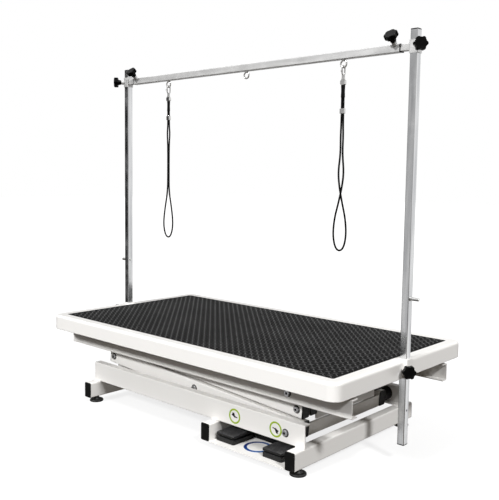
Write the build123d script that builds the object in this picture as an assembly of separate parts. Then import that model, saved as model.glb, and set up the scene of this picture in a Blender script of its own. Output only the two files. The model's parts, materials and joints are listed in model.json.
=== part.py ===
from build123d import *
import os
from math import sin, cos, tan, asin, degrees, radians, pi, sqrt

# Electric dog grooming table: low double scissor lift, H-shaped overhead frame, two loops.
# Millimetres. Origin on the floor under the middle of the table. X along the table,
# -Y is the side with the foot pedals, +Z up. The lift is drawn in its lowest position.

# ---------------------------------------------------------------- driving dimensions
table_length = 1200.0
table_width = 652.0
table_height = 286.5          # floor to the top of the mat, lift fully down
table_corner_r = 30.0
rim_depth = 48.0
rim_skirt = 14.0
sleeve_rise = 3.0             # table clamp sleeve above the rim
mat_border = 34.0
mat_thick = 4.0
board_thick = 20.0

post_side = 21.0
post_wall = 1.5
post_length = 1106.0
post_bottom_z = 51.0
post_inset = 7.0              # centre of each post inside the table's end
post_x = table_length / 2 - post_inset
cap_plate = 3.0
pin_z = 453.0
low_hole_z = 147.6

bar_z = 1111.5                # centre of the crossbar
bar_end_gap = 42.0            # crossbar's end to the centre of the post
bar_half = post_x - bar_end_gap
stub_side = 17.2
sleeve_height = 34.0
ring_x = 369.0
ring_r = 12.0
ring_wire_r = 2.25

arm_span = 800.0              # between the end pivots of one arm
stage_rise = 53.5             # rise of one stage with the lift fully down
top_angle = 30.0              # arm angle with the lift fully up
arm_h = 46.0
arm_w = 30.0
arm_wall = 2.5
arm_over = 18.0               # arm beyond its end pivot
arm_gap = 3.0                 # between the two arm planes
end_plate_t = 5.0
outer_arm_y = 193.0           # centre plane of the outer arms
pivot_x = 390.0               # fixed pivots
pivot_z = 97.0                # lowest pivot above the floor

foot_height = 19.0
foot_r = 22.7
foot_y = 260.0
cross_w = 31.0
cross_h = 50.0
cross_len = 594.0
cross_wall = 2.5
cross_mid_x = 128.5
beam_len = 910.0
beam_h = 62.0
beam_t = 3.0
beam_flange = 24.0
beam_face_y = 254.0

rail_len = 1185.0
rail_bottom_z = 179.0
rail_h = 50.0
rail_face_y = 248.0
under_cross_w = 40.0

knob_d = 38.0
knob_t = 14.0
knob_stem_r = 4.0

pedal_w = 68.0
pedal_len = 86.0
pedal_front_y = 274.0
pedal_x = (186.0, 360.0)

cord_d = 5.4

# ---------------------------------------------------------------- fits
fit_fixed = 0.2               # gap round a piece dropped into its seat
fit_slide = 0.3               # gap on each side of a tube that slides
fit_run = 0.05                # radial clearance of a turning pin
axial_gap = 0.5
bolt_r = 6.0
shaft_r = 7.0
bush_r = 11.0
spacer_r = 21.0

# ---------------------------------------------------------------- derived
rest_angle = degrees(asin(stage_rise / arm_span))
left_x = pivot_x - arm_span * cos(radians(rest_angle))
mid_x = (pivot_x + left_x) / 2
mid_z = pivot_z + stage_rise
top_z = pivot_z + 2 * stage_rise
c1_z = pivot_z + stage_rise / 2
c2_z = c1_z + stage_rise
inner_arm_y = outer_arm_y - arm_w - arm_gap
board_top = table_height - mat_thick
board_bottom = board_top - board_thick
rim_bottom = table_height - rim_depth
cross_top = foot_height + cross_h
beam_top = cross_top + beam_h
cross_x = beam_len / 2 - cross_w / 2
rail_top = rail_bottom_z + rail_h
post_top_z = post_bottom_z + post_length
bore = post_side - 2 * post_wall
os.makedirs("parts", exist_ok=True)


def box(x0, x1, y0, y1, z0, z1):
    return Pos((x0 + x1) / 2, (y0 + y1) / 2, (z0 + z1) / 2) * Box(x1 - x0, y1 - y0, z1 - z0)


def cyl_y(x, z, r, y0, y1):
    return Pos(x, (y0 + y1) / 2, z) * Rot(90, 0, 0) * Cylinder(r, abs(y1 - y0))


def cyl_x(y, z, r, x0, x1):
    return Pos((x0 + x1) / 2, y, z) * Rot(0, 90, 0) * Cylinder(r, abs(x1 - x0))


def cyl_z(x, y, r, z0, z1):
    return Pos(x, y, (z0 + z1) / 2) * Cylinder(r, z1 - z0)


def slab(length, width, corner, z0, z1):
    return Pos(0, 0, z0) * extrude(RectangleRounded(length, width, corner), z1 - z0)


def square_tube_z(side, hole, corner, z0, z1):
    outer = extrude(RectangleRounded(side, side, corner), z1 - z0)
    inner = extrude(RectangleRounded(hole, hole, max(corner - 1.5, 0.4)), z1 - z0)
    return Pos(0, 0, z0) * (outer - inner)


def save(shape, name):
    export_step(shape, "parts/" + name + ".step")


def both_sides(shape):
    return [shape, mirror(shape, Plane.XZ)]


def group(shapes):
    flat = []
    for s in shapes:
        flat.extend(s.solids())
    return Compound(children=flat) if len(flat) > 1 else flat[0]


# ---------------------------------------------------------------- base frame
def channel(length, height, flange, t, face_y, z0):
    """Channel along X, web outwards at -face_y, flanges towards the middle."""
    web = box(-length / 2, length / 2, -face_y, -face_y + t, z0, z0 + height)
    low = box(-length / 2, length / 2, -face_y, -face_y + flange, z0, z0 + t)
    high = box(-length / 2, length / 2, -face_y, -face_y + flange, z0 + height - t, z0 + height)
    section = web + low + high
    outer_edges = section.edges().filter_by(Axis.X).group_by(Axis.Y)[0]
    return fillet(outer_edges, t * 0.9)


beam = channel(beam_len, beam_h, beam_flange, beam_t, beam_face_y, cross_top)
beam = beam - cyl_y(pivot_x, pivot_z, bolt_r + fit_run, -beam_face_y - 5, -beam_face_y + 10)
save(beam, "base_beam_front")
save(mirror(beam, Plane.XZ), "base_beam_rear")

tube_end = cross_len / 2 - cap_plate


def cross_member(x):
    outer = Rot(90, 0, 0) * extrude(RectangleRounded(cross_w, cross_h, 4.0), tube_end, both=True)
    hole = Rot(90, 0, 0) * extrude(
        RectangleRounded(cross_w - 2 * cross_wall, cross_h - 2 * cross_wall, 1.6), tube_end, both=True)
    return Pos(x, 0, foot_height + cross_h / 2) * (outer - hole)


members = []
for x in (-cross_x, cross_mid_x, cross_x):
    m = cross_member(x)
    if x != cross_mid_x:
        for s in (-1, 1):
            m = m - cyl_z(x, s * foot_y, 5.0 + fit_run, foot_height - 1, foot_height + 4)
    members.append(m)

# bracket that holds the back of the drive on the middle cross member
bracket_t = 5.0
bracket_gap = 20.0
for s in (-1, 1):
    y0 = s * (bracket_gap / 2) if s > 0 else -(bracket_gap / 2 + bracket_t)
    plate = box(cross_mid_x - 14, cross_mid_x + 14, y0, y0 + bracket_t, cross_top, pivot_z)
    plate = plate + cyl_y(cross_mid_x, pivot_z, 14.0, y0, y0 + bracket_t)
    plate = plate - cyl_y(cross_mid_x, pivot_z, 5.0 + fit_run, y0 - 1, y0 + bracket_t + 1)
    members[1] = members[1] + plate
save(group(members), "base_cross_members")

caps = []
for x in (-cross_x, cross_mid_x, cross_x):
    for s in (-1, 1):
        plate = extrude(RectangleRounded(cross_w, cross_h, 4.0), cap_plate)
        plate = chamfer(plate.faces().sort_by(Axis.Z)[-1].edges(), 0.8)
        plug_w = cross_w - 2 * cross_wall - 2 * fit_fixed
        plug_h = cross_h - 2 * cross_wall - 2 * fit_fixed
        plug = Pos(0, 0, -14) * extrude(RectangleRounded(plug_w, plug_h, 1.5), 14)
        cap = Rot(90, 0, 0) * (plate + plug)
        if s > 0:
            cap = mirror(cap, Plane.XZ)
        caps.append(Pos(x, s * tube_end, foot_height + cross_h / 2) * cap)
save(group(caps), "base_end_caps")

feet = []
for x in (-cross_x, cross_x):
    for s in (-1, 1):
        pad = Cylinder(foot_r, 7.0, align=(Align.CENTER, Align.CENTER, Align.MIN))
        pad = fillet(pad.edges().group_by(Axis.Z)[-1], 3.0)
        pad = chamfer(pad.edges().group_by(Axis.Z)[0], 1.0)
        boss = Pos(0, 0, 6.5) * Cone(13.0, 9.5, 6.0, align=(Align.CENTER, Align.CENTER, Align.MIN))
        stud = Cylinder(5.0, 32.0, align=(Align.CENTER, Align.CENTER, Align.MIN))
        hexnut = Pos(0, 0, 12.4) * extrude(RegularPolygon(8.5, 6), foot_height - 12.4 - 0.05)
        feet.append(Pos(x, s * foot_y, 0) * (pad + boss + Pos(0, 0, 5) * stud + hexnut))
save(group(feet), "levelling_feet")

plate_t = 2.5
plate_back = 176.0
platform = box(cross_mid_x + cross_w / 2, cross_x - cross_w / 2, -cross_len / 2, -plate_back,
               foot_height, foot_height + plate_t)
platform = platform + box(cross_mid_x + cross_w / 2, cross_x - cross_w / 2, -plate_back - plate_t,
                          -plate_back, foot_height, foot_height + 16)
for x in pedal_x:
    for dy in (-20, 20):
        platform = platform - cyl_z(x, -pedal_front_y + pedal_len / 2 + dy, 2.2, 10, 30)
save(platform, "pedal_platform")

# ---------------------------------------------------------------- foot pedals
plate_z = foot_height + plate_t
pedal_top = 46.0
tread_t = 7.0
tread_gap = 4.0
hinge_y = -pedal_front_y + pedal_len - 8
hinge_z = pedal_top - 4.5
ear_t = 4.0
housings = []
for i, x in enumerate(pedal_x):
    y0, y1 = -pedal_front_y, -pedal_front_y + pedal_len
    low_top = pedal_top - tread_t - tread_gap
    body = box(x - pedal_w / 2, x + pedal_w / 2, y0, y1, plate_z, low_top)
    body = fillet(body.edges().filter_by(Axis.Z), 5.0)
    body = chamfer(body.faces().sort_by(Axis.Z)[-1].edges(), 1.5)
    for s in (-1, 1):
        xa = x + s * (pedal_w / 2 - 1.5 - ear_t / 2)
        ear = box(xa - ear_t / 2, xa + ear_t / 2, hinge_y - 5, hinge_y + 5, low_top - 2, hinge_z)
        ear = ear + cyl_x(hinge_y, hinge_z, 4.2, xa - ear_t / 2, xa + ear_t / 2)
        pin = cyl_x(hinge_y, hinge_z, 2.0, xa, x + s * (pedal_w / 2 - 1.5 - ear_t - 7))
        body = body + ear + pin
    housings.append(body)
    tread = box(x - pedal_w / 2, x + pedal_w / 2, y0, y1, pedal_top - tread_t, pedal_top)
    tread = fillet(tread.edges().filter_by(Axis.Z), 5.0)
    tread = fillet(tread.faces().sort_by(Axis.Z)[-1].edges(), 2.0)
    for k in range(9):
        yk = y0 + 10 + k * 7.0
        tread = tread - box(x - pedal_w / 2 + 6, x + pedal_w / 2 - 6, yk, yk + 2.5, pedal_top - 1.0, pedal_top + 1)
    for s in (-1, 1):
        xa = x + s * (pedal_w / 2 - 1.5 - ear_t / 2)
        xo = x + s * (pedal_w / 2 + 1)
        xi = x + s * (pedal_w / 2 - 1.5 - ear_t - 0.4)
        tread = tread - box(min(xo, xi), max(xo, xi), hinge_y - 5.5, y1 + 1, pedal_top - 12, pedal_top + 1)
        tread = tread - cyl_x(hinge_y, hinge_z, 2.0 + fit_run, xi, x + s * (pedal_w / 2 - 1.5 - ear_t - 7.4))
    save(tread, "pedal_left" if i == 0 else "pedal_right")
save(group(housings), "pedal_housings")

# plain ring labels: two above the pedals on the front beam, one on the platform
film_t = 0.4
ring_label_x = (205.0, 356.0)
ring_label_z = 98.0
ring_label_r = 21.5
ring_label_hole = 16.8
long_hand = ((-2.0, -1.6), (14.0, -0.5), (14.0, 0.5), (2.0, 4.2), (-4.0, 2.2))
short_hand = ((0.0, -1.2), (-8.5, -7.0), (-10.0, -5.0), (-2.4, 1.2))
labels = []
for x, turn in zip(ring_label_x, (135.0, -50.0)):
    place = Pos(x, -beam_face_y - film_t / 2, ring_label_z) * Rot(90, 0, 0)
    labels.append(place * (Cylinder(ring_label_r, film_t) - Cylinder(ring_label_hole, 1.0)))
    hands = make_face(Polyline(*long_hand, close=True)) + make_face(Polyline(*short_hand, close=True))
    labels.append(place * Rot(0, 0, turn) * Pos(0, 0, -film_t / 2) * extrude(hands, film_t))
platform_ring = Cylinder(40.0, film_t) - Cylinder(31.0, 1.0)
labels.append(Pos(275.0, -232.0, plate_z + film_t / 2) * platform_ring)
save(group(labels), "label_rings")

# ---------------------------------------------------------------- bolts and pivots
def bolt(x, z, y_head, y_end, spacer=None):
    """Pivot bolt along Y: round head outside at y_head, nut inside at y_end (both negative)."""
    head_t = 6.0
    head = cyl_y(x, z, 9.0, y_head - head_t, y_head)
    head = chamfer(head.faces().sort_by(Axis.Y)[0].edges(), 1.6)
    socket = Pos(x, y_head - head_t, z) * Rot(90, 0, 0) * extrude(RegularPolygon(4.0, 6), -3.5)
    shank = cyl_y(x, z, bolt_r, y_head, y_end + 10.5)
    nut = Pos(x, y_end, z) * Rot(-90, 0, 0) * extrude(RegularPolygon(10.5, 6), 9.0)
    out = head - socket + shank + nut
    if spacer:
        out = out + cyl_y(x, z, 10.0, spacer[0], spacer[1])
    return out


outer_face = outer_arm_y + arm_w / 2
outer_back = outer_arm_y - arm_w / 2
inner_face = inner_arm_y + arm_w / 2
inner_back = inner_arm_y - arm_w / 2

web_in = beam_face_y - beam_t
base_bolt = bolt(pivot_x, pivot_z, -beam_face_y, -outer_back + axial_gap)
save(group(both_sides(base_bolt)), "base_pivot_bolts")

# round plastic spacer on each base bolt, between the beam and the outer arm
spacer = cyl_y(pivot_x, pivot_z, spacer_r, -web_in + fit_fixed, -outer_face - axial_gap)
spacer = chamfer(spacer.edges().filter_by(GeomType.CIRCLE), 1.5)
spacer = spacer - cyl_y(pivot_x, pivot_z, bolt_r + fit_run, -web_in - 1, -outer_face + 1)
save(group(both_sides(spacer)), "pivot_spacers")

rail_in = rail_face_y - beam_t
rail_bolt = bolt(pivot_x, top_z, -rail_face_y, -inner_back + axial_gap,
                 (-rail_in, -inner_face - 2.5 - axial_gap))
save(group(both_sides(rail_bolt)), "upper_pivot_bolts")

lower_bolts = both_sides(bolt(mid_x, c1_z, -outer_face, -inner_back + axial_gap))
lower_bolts += both_sides(bolt(left_x, mid_z, -outer_face, -inner_back + axial_gap))
save(group(lower_bolts), "lower_arm_bolts")
upper_bolts = both_sides(bolt(mid_x, c2_z, -outer_face, -inner_back + axial_gap))
upper_bolts += both_sides(bolt(pivot_x, mid_z, -outer_face, -inner_back + axial_gap))
save(group(upper_bolts), "upper_arm_bolts")


# ---------------------------------------------------------------- scissor arms
def arm_frame(y_c, z_c, sign, hole_r, cross_at, raised, end_plate=None):
    """Two tubes and their welded cross tubes. sign +1 slopes down towards +X.
    end_plate is the lowest and highest height of a plate across the +X ends."""
    half = arm_span / 2 + arm_over
    shell = Rot(0, 90, 0) * extrude(RectangleRounded(arm_h, arm_w, 3.5), half, both=True)
    hollow = Rot(0, 90, 0) * extrude(
        RectangleRounded(arm_h - 2 * arm_wall, arm_w - 2 * arm_wall, 1.2), half, both=True)
    arms = []
    for s in (-1, 1):
        one = shell - hollow
        stations = (-arm_span / 2, 0.0, arm_span / 2)
        for k, u in enumerate(stations):
            out = raised if raised else 0.0
            y_lo, y_hi = -arm_w / 2, arm_w / 2
            if s < 0:
                y_lo -= out
            else:
                y_hi += out
            one = one + cyl_y(u, 0, bush_r, y_lo, y_hi)
            one = one - cyl_y(u, 0, hole_r[k] + fit_run, -arm_w, arm_w)
        arms.append(Pos(0, s * y_c, 0) * one)
    y_in = y_c - arm_w / 2
    for u in cross_at:
        tube = Pos(u, 0, 0) * Rot(90, 0, 0) * extrude(RectangleRounded(30, 30, 3), y_in + 0.01, both=True)
        bore_tube = Pos(u, 0, 0) * Rot(90, 0, 0) * extrude(RectangleRounded(25, 25, 1), y_in + 0.01, both=True)
        arms.append(tube - bore_tube)
    if end_plate:
        arms.append(box(half - end_plate_t, half, -y_in - 0.01, y_in + 0.01, *end_plate))
    frame = arms[0]
    for a in arms[1:]:
        frame = frame + a
    return Pos(mid_x, 0, z_c) * Rot(0, sign * rest_angle, 0) * frame


def arm_plugs(y_c, z_c, sign):
    half = arm_span / 2 + arm_over
    plugs = []
    for s in (-1, 1):
        for e in (-1, 1):
            plate = extrude(RectangleRounded(arm_h, arm_w, 3.5), cap_plate)
            plate = chamfer(plate.faces().sort_by(Axis.Z)[-1].edges(), 0.8)
            plug = Pos(0, 0, -5) * extrude(
                RectangleRounded(arm_h - 2 * arm_wall - 2 * fit_fixed, arm_w - 2 * arm_wall - 2 * fit_fixed, 1.0), 5)
            piece = Pos(half, 0, 0) * Rot(0, 90, 0) * (plate + plug)
            if e < 0:
                piece = mirror(piece, Plane.YZ)
            plugs.append(Pos(0, s * y_c, 0) * piece)
    return [Pos(mid_x, 0, z_c) * Rot(0, sign * rest_angle, 0) * p for p in plugs]


# hole radii are listed from the -X end to the +X end of each arm
save(arm_frame(outer_arm_y, c1_z, 1, (bolt_r, bolt_r, bolt_r), (305.0,), 0,
               (-arm_h / 2, 13.0)), "lower_outer_arms")
save(arm_frame(inner_arm_y, c1_z, -1, (shaft_r, bolt_r, bolt_r), (320.0,), 2.5,
               (-38.0, arm_h / 2)), "lower_inner_arms")
save(arm_frame(outer_arm_y, c2_z, 1, (shaft_r, bolt_r, bolt_r), (-330.0,), 0), "upper_outer_arms")
save(arm_frame(inner_arm_y, c2_z, -1, (bolt_r, bolt_r, bolt_r), (-325.0, 320.0), 2.5), "upper_inner_arms")
save(group(arm_plugs(outer_arm_y, c1_z, 1)), "lower_outer_plugs")
save(group(arm_plugs(inner_arm_y, c1_z, -1)), "lower_inner_plugs")
save(group(arm_plugs(outer_arm_y, c2_z, 1)), "upper_outer_plugs")
save(group(arm_plugs(inner_arm_y, c2_z, -1)), "upper_inner_plugs")

# ---------------------------------------------------------------- rollers
roller_w = 17.5
low_roller_r = 24.6
up_roller_r = 21.5
journal_r = 6.0


def roller_shaft(z, y_web):
    y_roll = y_web - axial_gap - roller_w
    shaft = cyl_y(left_x, z, shaft_r, -y_roll + axial_gap, y_roll - axial_gap)
    return shaft + cyl_y(left_x, z, journal_r, -y_web + axial_gap + 0.1, y_web - axial_gap - 0.1)


def rollers(z, y_web, r):
    y_out = y_web - axial_gap
    wheel = cyl_y(left_x, z, r, -y_out, -y_out + roller_w)
    wheel = chamfer(wheel.edges().filter_by(GeomType.CIRCLE), 1.2)
    wheel = wheel - cyl_y(left_x, z, journal_r + fit_run, -y_out - 1, -y_out + roller_w + 1)
    return both_sides(wheel)


save(roller_shaft(pivot_z, web_in), "lower_roller_shaft")
save(group(rollers(pivot_z, web_in, low_roller_r)), "lower_rollers")
save(roller_shaft(top_z, rail_in), "upper_roller_shaft")
save(group(rollers(top_z, rail_in, up_roller_r)), "upper_rollers")

# ---------------------------------------------------------------- drive
rod_r = 9.0
tube_r = 20.0
tube_x0 = -274.0
gear_x = -10.0
drive_tube = cyl_x(0, pivot_z, tube_r, tube_x0, gear_x) - cyl_x(0, pivot_z, rod_r + 3.5, tube_x0 + 14, gear_x)
drive_tube = drive_tube - cyl_x(0, pivot_z, rod_r + fit_slide, tube_x0 - 1, tube_x0 + 15)
drive_tube = chamfer(drive_tube.faces().sort_by(Axis.X)[0].edges(), 1.0)
save(drive_tube, "drive_tube")

gear = box(gear_x, 66, -30, 84, pivot_z - 32, pivot_z + 26)
gear = fillet(gear.edges().filter_by(Axis.X), 12.0)
gear = fillet(gear.faces().sort_by(Axis.X)[0].edges(), 2.5)
motor = cyl_x(54, pivot_z - 3, 27.0, -150, gear_x + 1)
motor = fillet(motor.faces().sort_by(Axis.X)[0].edges(), 4.0)
lug_w = bracket_gap - 2 * axial_gap
lug = box(64, cross_mid_x, -lug_w / 2, lug_w / 2, pivot_z - 12, pivot_z + 12)
lug = lug + cyl_y(cross_mid_x, pivot_z, 12.0, -lug_w / 2, lug_w / 2)
lug_hole = cyl_y(cross_mid_x, pivot_z, 5.0 + fit_run, -20, 20)
save(gear + motor + lug - lug_hole, "drive_motor")
anchor = cyl_y(cross_mid_x, pivot_z, 5.0, -18, 18)
anchor = anchor + cyl_y(cross_mid_x, pivot_z, 8.0, -21, -18) + cyl_y(cross_mid_x, pivot_z, 8.0, 18, 21)
save(anchor, "drive_anchor_pin")

rod = cyl_x(0, pivot_z, rod_r, left_x + 10, -150)
rod = chamfer(rod.faces().sort_by(Axis.X)[-1].edges(), 1.5)
rod_eye = cyl_y(left_x, pivot_z, 17.0, -12, 12) + box(left_x, left_x + 22, -12, 12, pivot_z - 13, pivot_z + 13)
rod = rod + rod_eye - cyl_y(left_x, pivot_z, shaft_r + fit_run, -20, 20)
save(rod, "drive_rod")

# control box on the middle cross member, with the power inlet at its rear end
box_l, box_w, box_h = 98.0, 130.0, 44.0
box_x0 = cross_mid_x + cross_w / 2
box_y0 = -140.0
box_z0 = foot_height + 3.0
box_x1, box_y1, box_z1 = box_x0 + box_l, box_y0 + box_w, box_z0 + box_h
control = box(box_x0, box_x1, box_y0, box_y1, box_z0, box_z1)
control = fillet(control.edges().filter_by(Axis.Y), 4.0)
lid_z = box_z1 - 15
lid_groove = box(box_x0 - 1, box_x1 + 1, box_y0 - 1, box_y1 + 1, lid_z, lid_z + 1.2)
lid_groove = lid_groove - box(box_x0 + 1.5, box_x1 - 1.5, box_y0 + 1.5, box_y1 - 1.5, lid_z - 1, lid_z + 2)
inlet_x, inlet_z = box_x0 + 52.0, box_z0 + 18.0
inlet = box(inlet_x - 14, inlet_x + 14, box_y1, box_y1 + 6, inlet_z - 10, inlet_z + 10)
inlet_hole = box(inlet_x - 10.5, inlet_x + 10.5, box_y1 - 16, box_y1 + 7, inlet_z - 6, inlet_z + 6)
control = control - lid_groove + inlet - inlet_hole
for k in range(3):
    gland = cyl_y(box_x0 + 20, box_z0 + 10 + 12 * k, 4.5, box_y0 - 4, box_y0 + 1)
    control = control + gland
save(control, "control_box")

# ---------------------------------------------------------------- table top
notch = 31.0
rim = slab(table_length, table_width, table_corner_r, rim_bottom, table_height)
rim = fillet(rim.faces().sort_by(Axis.Z)[-1].edges(), 8.0)
rim = chamfer(rim.faces().sort_by(Axis.Z)[0].edges(), 1.5)
seat_l, seat_w = table_length - 2 * rim_skirt, table_width - 2 * rim_skirt
rim = rim - slab(seat_l, seat_w, table_corner_r - rim_skirt, rim_bottom - 1, board_top)
mat_l, mat_w = table_length - 2 * mat_border, table_width - 2 * mat_border
rim = rim - slab(mat_l, mat_w, 6.0, board_top - 1, table_height + 1)
board = slab(seat_l - 2 * fit_fixed, seat_w - 2 * fit_fixed, table_corner_r - rim_skirt, board_bottom, board_top)
for s in (-1, 1):
    gap = notch / 2 + fit_fixed
    cut = Pos(s * (post_x + 20), 0, table_height) * Box(2 * gap + 40, 2 * gap, 120)
    rim = rim - cut
    board = board - cut
save(rim, "table_rim")
save(board, "table_board")

mat = slab(mat_l - 2 * fit_fixed, mat_w - 2 * fit_fixed, 5.8, board_top, table_height)
mat = chamfer(mat.faces().sort_by(Axis.Z)[-1].edges(), 0.8)
save(mat, "rubber_mat")

rail = channel(rail_len, rail_h, beam_flange, beam_t, rail_face_y, rail_bottom_z)
rail = rail - cyl_y(pivot_x, top_z, bolt_r + fit_run, -rail_face_y - 5, -rail_face_y + 10)
save(rail, "upper_rail_front")
save(mirror(rail, Plane.XZ), "upper_rail_rear")

unders = []
for x in (-500.0, 0.0, 500.0):
    outer = Rot(90, 0, 0) * extrude(
        RectangleRounded(under_cross_w, board_bottom - rail_top, 3.0), rail_face_y - 2, both=True)
    hole = Rot(90, 0, 0) * extrude(
        RectangleRounded(under_cross_w - 5, board_bottom - rail_top - 5, 1.0), rail_face_y - 2, both=True)
    unders.append(Pos(x, 0, (rail_top + board_bottom) / 2) * (outer - hole))
for s in (-1, 1):
    arm = box(520, post_x - notch / 2, -18, 18, rail_top + 8, board_bottom)
    arm = arm - box(519, post_x, -15.5, 15.5, rail_top + 10.5, board_bottom - 2.5)
    unders.append(arm if s > 0 else mirror(arm, Plane.YZ))
save(group(unders), "under_cross_tubes")


def toward(x, y, z, d):
    """Location at (x, y, z) whose local Z runs along d."""
    return Plane(origin=(x, y, z), z_dir=d).location


def clamp_boss(loc, r, r0, r1):
    tube = Pos(0, 0, r0) * Cylinder(r, r1 - r0, align=(Align.CENTER, Align.CENTER, Align.MIN))
    return loc * tube


def screw_hole(loc, r1):
    return loc * Cylinder(knob_stem_r + fit_run, r1, align=(Align.CENTER, Align.CENTER, Align.MIN))


clamp_z = (table_height + rim_bottom) / 2
slide_hole = post_side + 2 * fit_slide
clamps = []
for s in (-1, 1):
    loc = toward(s * post_x, 0, clamp_z, (s, -1, 0))
    sleeve = Pos(s * post_x, 0, 0) * square_tube_z(
        notch, slide_hole, 3.0, rim_bottom, table_height + sleeve_rise)
    sleeve = sleeve + clamp_boss(loc, 8.5, 20.4, 27.0)
    clamps.append(sleeve - screw_hole(loc, 40))
save(group(clamps), "table_clamps")


# ---------------------------------------------------------------- clamp knobs
def knob(loc, tip, hub0, head0):
    head = Cylinder(15.5, knob_t, align=(Align.CENTER, Align.CENTER, Align.MIN))
    for k in range(6):
        a = radians(60 * k)
        lobe_r = 5.2
        d = knob_d / 2 - lobe_r
        head = head + Pos(d * cos(a), d * sin(a), 0) * Cylinder(
            lobe_r, knob_t, align=(Align.CENTER, Align.CENTER, Align.MIN))
    dome = Cylinder(knob_d / 2, knob_t, align=(Align.CENTER, Align.CENTER, Align.MIN))
    head = head & chamfer(dome.edges().filter_by(GeomType.CIRCLE), 2.2)
    hub = Pos(0, 0, hub0) * Cone(8.0, 10.0, head0 - hub0, align=(Align.CENTER, Align.CENTER, Align.MIN))
    stem = Pos(0, 0, tip) * Cylinder(knob_stem_r, head0 - tip, align=(Align.CENTER, Align.CENTER, Align.MIN))
    return loc * (Pos(0, 0, head0) * head + hub + stem)


half_post = post_side / 2
corner_reach = half_post * sqrt(2)
for s, side in ((-1, "left"), (1, "right")):
    loc = toward(s * post_x, 0, clamp_z, (s, -1, 0))
    save(knob(loc, corner_reach + 0.4, 28.0, 37.0), "knob_table_" + side)
    loc = toward(s * post_x, 0, bar_z, (s, -1, 0))
    save(knob(loc, corner_reach + 0.4, 27.0, 38.0), "knob_post_" + side)
    loc = toward(s * (bar_half - 14), 0, bar_z, (0, -1, 1))
    save(knob(loc, stub_side / 2 * sqrt(2) + 0.4, 25.0, 36.0), "knob_bar_" + side)

# ---------------------------------------------------------------- posts
for s, side in ((-1, "left"), (1, "right")):
    post = square_tube_z(post_side, bore, 2.0, post_bottom_z + cap_plate, post_top_z - cap_plate)
    for z in (pin_z, low_hole_z):
        post = post - cyl_x(0, z, 3.0 + fit_run, -20, 20)
    save(Pos(s * post_x, 0, 0) * post, "post_" + side)
    caps = []
    for z, up in ((post_bottom_z + cap_plate, -1), (post_top_z - cap_plate, 1)):
        plate = extrude(RectangleRounded(post_side, post_side, 2.0), cap_plate)
        plate = chamfer(plate.faces().sort_by(Axis.Z)[-1].edges(), 0.8)
        plug = Pos(0, 0, -12) * extrude(RectangleRounded(bore - 0.4, bore - 0.4, 0.4), 12)
        cap = plate + plug
        if up < 0:
            cap = mirror(cap, Plane.XY)
        caps.append(Pos(s * post_x, 0, z) * cap)
    save(group(caps), "post_caps_" + side)
    stop = cyl_x(0, pin_z, 3.0, -half_post - 4, half_post + 0.1)
    stop = stop + cyl_x(0, pin_z, 4.6, half_post, half_post + 25)
    stop = stop + cyl_x(0, pin_z, 6.4, half_post, half_post + 3)
    stop = chamfer(stop.faces().sort_by(Axis.X)[-1].edges(), 1.0)
    if s < 0:
        stop = mirror(stop, Plane.YZ)
    save(Pos(s * post_x, 0, 0) * stop, "stop_pin_" + side)

# ---------------------------------------------------------------- crossbar
bar_shell = Rot(0, 90, 0) * extrude(RectangleRounded(post_side, post_side, 2.0), bar_half, both=True)
bar_hole = Rot(0, 90, 0) * extrude(RectangleRounded(bore, bore, 0.5), bar_half, both=True)
bar = Pos(0, 0, bar_z) * (bar_shell - bar_hole)
for s in (-1, 1):
    loc = toward(s * (bar_half - 14), 0, bar_z, (0, -1, 1))
    boss = clamp_boss(loc, 7.0, 13.2, 23.0)
    bar = bar + (boss - Pos(s * (bar_half - 14), 0, bar_z) * Box(40, bore, bore)) - screw_hole(loc, 40)
save(bar, "crossbar")

sleeves = []
sleeve_side = slide_hole + 3.0
for s in (-1, 1):
    sleeve = Pos(s * post_x, 0, 0) * square_tube_z(
        sleeve_side, slide_hole, 2.2, bar_z - sleeve_height / 2, bar_z + sleeve_height / 2)
    x_face = post_x - sleeve_side / 2
    stub_len = x_face - (bar_half - 46) + 0.6
    stub = Rot(0, 90, 0) * extrude(RectangleRounded(stub_side, stub_side, 1.5), stub_len)
    core = Rot(0, 90, 0) * extrude(RectangleRounded(stub_side - 3.6, stub_side - 3.6, 0.5), stub_len)
    stub = Pos(bar_half - 46, 0, bar_z) * (stub - core)
    if s < 0:
        stub = mirror(stub, Plane.YZ)
    loc = toward(s * post_x, 0, bar_z, (s, -1, 0))
    boss = clamp_boss(loc, 7.5, 15.6, 25.0)
    boss = boss - Pos(s * post_x, 0, bar_z) * Box(slide_hole, slide_hole, 60)
    sleeves.append(sleeve + stub + boss - screw_hole(loc, 40))
save(group(sleeves), "post_sleeves")

bar_under = bar_z - half_post
ring_z = bar_under - 0.6 - ring_r
eyes = []
for x in (-ring_x, 0.0, ring_x):
    eye = Pos(x, 0, ring_z) * Rot(90, 0, 0) * Torus(ring_r - ring_wire_r, ring_wire_r)
    neck = cyl_z(x, 0, 3.6, bar_under - 3.4, bar_under)
    flange = cyl_z(x, 0, 6.5, bar_under - 1.5, bar_under)
    eyes.append(eye + neck + flange)
save(group(eyes), "eye_rings")

# ---------------------------------------------------------------- loops
wire_z = ring_z - (ring_r - ring_wire_r)      # centre of the ring's lowest wire
hook_wire = 2.0
hook_in = 4.6                                 # half of the hook's inside width
link_top = wire_z + ring_wire_r + 0.35 + hook_wire
link_low = link_top - 26.0
barrel_len = 11.0
collar_z = link_low - hook_wire - barrel_len
cord_top = collar_z - 4.5


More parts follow.
